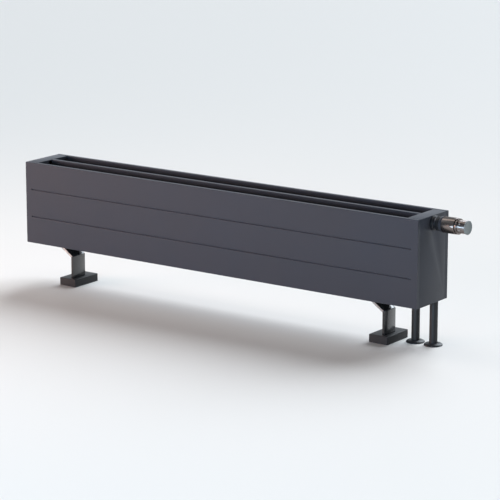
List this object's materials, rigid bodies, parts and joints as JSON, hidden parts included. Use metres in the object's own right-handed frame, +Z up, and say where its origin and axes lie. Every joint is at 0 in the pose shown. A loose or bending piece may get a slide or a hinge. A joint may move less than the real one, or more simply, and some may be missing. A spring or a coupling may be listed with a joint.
{
  "type": "floor convector",
  "caption": "Low floor-standing hot-water convector of flat steel tubes with air slots on top, a chrome thermostatic valve head on one end and two slim feet.",
  "frame": {"origin": "on the floor, under the middle of the part's bounding box, thermostatic head included", "axes": "+X along the casing towards the thermostatic head, +Y from the front layer to the rear layer, +Z up"},
  "size_m": [1.2956, 0.136, 0.3255],
  "materials": {
    "casing_paint": "anthracite, smooth semi-gloss powder coat",
    "fin_paint": "anthracite paint on thin steel sheet",
    "dark_paint": "near-black satin powder coat",
    "plain_steel": "bright zinc-plated steel",
    "brass": "turned brass, nickel plated where it shows",
    "black_plastic": "matt black moulding",
    "gray_plastic": "satin grey moulding",
    "pale_plastic": "satin pale grey moulding",
    "chrome": "polished chrome",
    "rubber": "matt rubber"
  },
  "bodies": {
    "convector": {"left_end_cover": "casing_paint", "right_end_cover": "casing_paint", "cross_tubes": "casing_paint", "front_tube_bottom": "casing_paint", "front_tube_middle": "casing_paint", "front_tube_top": "casing_paint", "middle_tube_bottom": "casing_paint", "middle_tube_middle": "casing_paint", "middle_tube_top": "casing_paint", "rear_tube_bottom": "casing_paint", "rear_tube_middle": "casing_paint", "rear_tube_top": "casing_paint", "front_header_left": "casing_paint", "front_header_right": "casing_paint", "middle_header_left": "casing_paint", "middle_header_right": "casing_paint", "rear_header_left": "casing_paint", "rear_header_right": "casing_paint", "front_fins": "fin_paint", "rear_fins": "fin_paint", "supply_sleeve": "dark_paint", "return_sleeve": "dark_paint", "left_foot_post": "dark_paint", "right_foot_post": "dark_paint", "left_saddle": "dark_paint", "right_saddle": "dark_paint", "cover_clips": "plain_steel", "vent_boss": "plain_steel", "riser_tube": "plain_steel", "sensor": "plain_steel", "supply_tail": "plain_steel", "return_tail": "plain_steel", "pipe_nuts": "plain_steel", "supply_pipe": "plain_steel", "return_pipe": "plain_steel", "left_foot_plate": "plain_steel", "right_foot_plate": "plain_steel", "clamp_hooks": "plain_steel", "clamp_nuts": "plain_steel", "vent_plug": "brass", "valve_body": "brass", "valve_insert": "brass", "gland_nut": "brass", "cover_ring": "black_plastic", "head_nut": "black_plastic", "head_base": "gray_plastic", "head_shell": "chrome", "saddle_pads": "rubber", "cone_seals": "rubber"},
    "handwheel": {"handwheel_core": "black_plastic", "handwheel_sleeve": "chrome", "end_cap": "pale_plastic"},
    "pin": {"valve_pin": "plain_steel", "push_rod": "plain_steel"},
    "bleed": {"bleed_screw": "brass"},
    "left_cover": {"left_foot_cover": "dark_paint"},
    "right_cover": {"right_foot_cover": "dark_paint"},
    "supply_rosette": {"supply_rosette": "dark_paint"},
    "return_rosette": {"return_rosette": "dark_paint"}
  },
  "joints": [
    {"name": "handwheel_turn", "type": "hinge", "parent": "convector", "child": "handwheel", "pos_m": [0.62225, 0, 0.306], "axis": [1, 0, 0], "range_deg": [-150, 150]},
    {"name": "pin_slide", "type": "slide", "parent": "convector", "child": "pin", "axis": [1, 0, 0], "range_m": [-0.00175, 0.00175]},
    {"name": "bleed_turn", "type": "hinge", "parent": "convector", "child": "bleed", "pos_m": [-0.64775, 0, 0.306], "axis": [-1, 0, 0], "range_deg": [0, 360]},
    {"name": "left_cover_slide", "type": "slide", "parent": "convector", "child": "left_cover", "axis": [0, 0, 1], "range_m": [0, 0.055]},
    {"name": "right_cover_slide", "type": "slide", "parent": "convector", "child": "right_cover", "axis": [0, 0, 1], "range_m": [0, 0.055]},
    {"name": "supply_rosette_slide", "type": "slide", "parent": "convector", "child": "supply_rosette", "axis": [0, 0, 1], "range_m": [0, 0.09]},
    {"name": "return_rosette_slide", "type": "slide", "parent": "convector", "child": "return_rosette", "axis": [0, 0, 1], "range_m": [0, 0.09]}
  ],
  "couplings": [
    {"joint": "pin_slide", "follows": "handwheel_turn", "m_per_rad": 0.000668}
  ]
}
